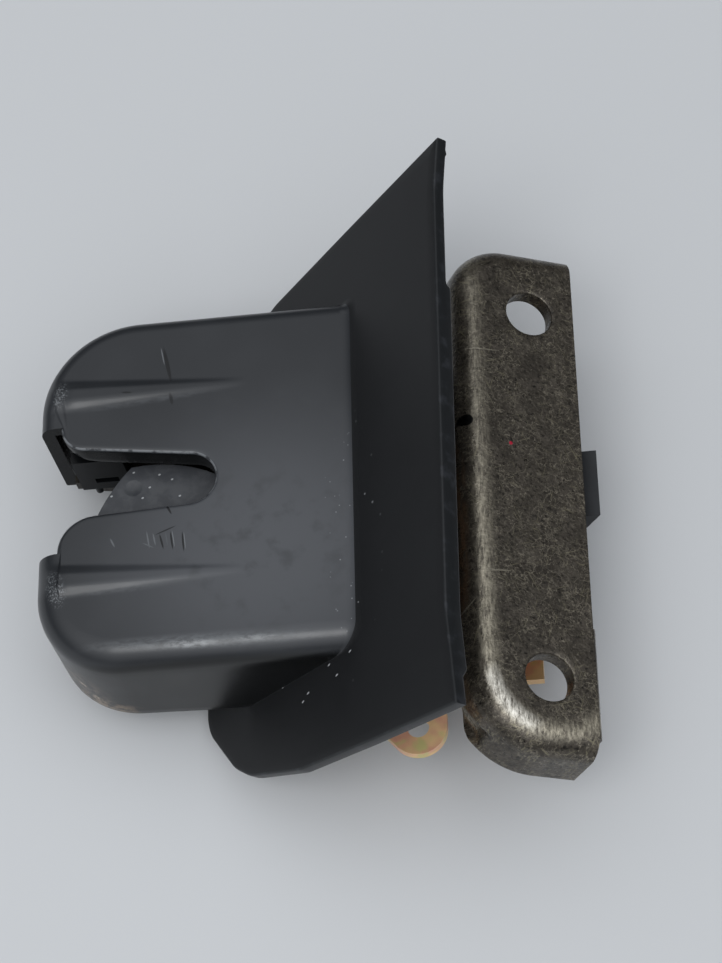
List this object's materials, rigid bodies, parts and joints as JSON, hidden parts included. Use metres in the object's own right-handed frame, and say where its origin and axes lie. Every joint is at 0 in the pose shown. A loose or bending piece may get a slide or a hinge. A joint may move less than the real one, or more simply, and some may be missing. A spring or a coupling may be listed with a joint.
{
  "type": "tailgate latch",
  "caption": "Rotary tailgate latch: moulded cover with a striker mouth and sloping flange, claw, pawl, release lever and a pressed steel mounting bracket.",
  "frame": {"origin": "axis of the seated striker bar, in the plane of the cover's flat top face", "axes": "+X from the nose towards the bracket, +Y across the latch along the bracket, +Z out of the cover's top face, along the claw's and pawl's pivots"},
  "size_m": [0.1016, 0.1124, 0.0654],
  "materials": {
    "cover_plastic": "satin moulded, scuffed and dusty",
    "bracket_steel": "dark phosphated and oiled steel with fine scratches",
    "plate_steel": "dark phosphated steel",
    "bright_steel": "ground and oiled",
    "yellow_zinc": "yellow passivated zinc",
    "claw_plastic": "dusty moulded jacket",
    "black_plastic": "satin moulded",
    "rubber": "matte",
    "spring_steel": "drawn wire",
    "contact": "tinned"
  },
  "bodies": {
    "frame": {"cover": "cover_plastic", "mounting_bracket": "bracket_steel", "base_plate": "plate_steel", "upper_plate": "plate_steel", "actuator_plate": "yellow_zinc", "claw_pivot": "bright_steel", "claw_spring": "spring_steel", "claw_stop": "rubber", "striker_buffer": "rubber", "mouth_guide": "black_plastic", "pawl_pivot": "bright_steel", "pawl_spring": "spring_steel", "release_pivot": "bright_steel", "release_spring": "spring_steel", "actuator_housing": "black_plastic", "actuator_lid": "black_plastic", "connector_pins": "contact", "actuator_screws": "bright_steel", "spacer_rivets": "bright_steel", "bracket_rivets": "bright_steel", "cover_screws": "bright_steel", "switch_body": "black_plastic", "switch_screws": "bright_steel"},
    "claw": {"claw_core": "bright_steel", "claw_jacket": "claw_plastic"},
    "pawl": {"pawl": "bright_steel"},
    "release": {"release_lever": "yellow_zinc", "drive_pin": "bright_steel"},
    "rod": {"actuator_rod": "black_plastic"},
    "plunger": {"switch_plunger": "contact"}
  },
  "joints": [
    {"name": "claw_turn", "type": "hinge", "parent": "frame", "child": "claw", "pos_m": [0.004, -0.016, -0.011], "axis": [0, 0, -1], "range_deg": [0, 64], "stiffness_Nm_per_rad": 0.03, "deforming": ["claw_spring"]},
    {"name": "release_turn", "type": "hinge", "parent": "frame", "child": "release", "pos_m": [0.028, -0.031, -0.0195], "axis": [0, 0, -1], "range_deg": [-14.7, 5.25], "stiffness_Nm_per_rad": 0.03, "deforming": ["release_spring"]},
    {"name": "pawl_lift", "type": "hinge", "parent": "frame", "child": "pawl", "pos_m": [0.031, 0.002, -0.011], "axis": [0, 0, 1], "range_deg": [-8.6, 3.2], "stiffness_Nm_per_rad": 0.02, "deforming": ["pawl_spring"]},
    {"name": "rod_slide", "type": "slide", "parent": "frame", "child": "rod", "axis": [1, 0, 0], "range_m": [-0.0032, 0.0012]},
    {"name": "plunger_slide", "type": "slide", "parent": "frame", "child": "plunger", "axis": [1, 0, 0], "range_m": [-0.0007, 0.0018]}
  ],
  "couplings": [
    {"joint": "pawl_lift", "follows": "release_turn", "ratio": 0.568},
    {"joint": "rod_slide", "follows": "release_turn", "m_per_rad": 0.012},
    {"joint": "plunger_slide", "follows": "release_turn", "m_per_rad": -0.0063}
  ]
}
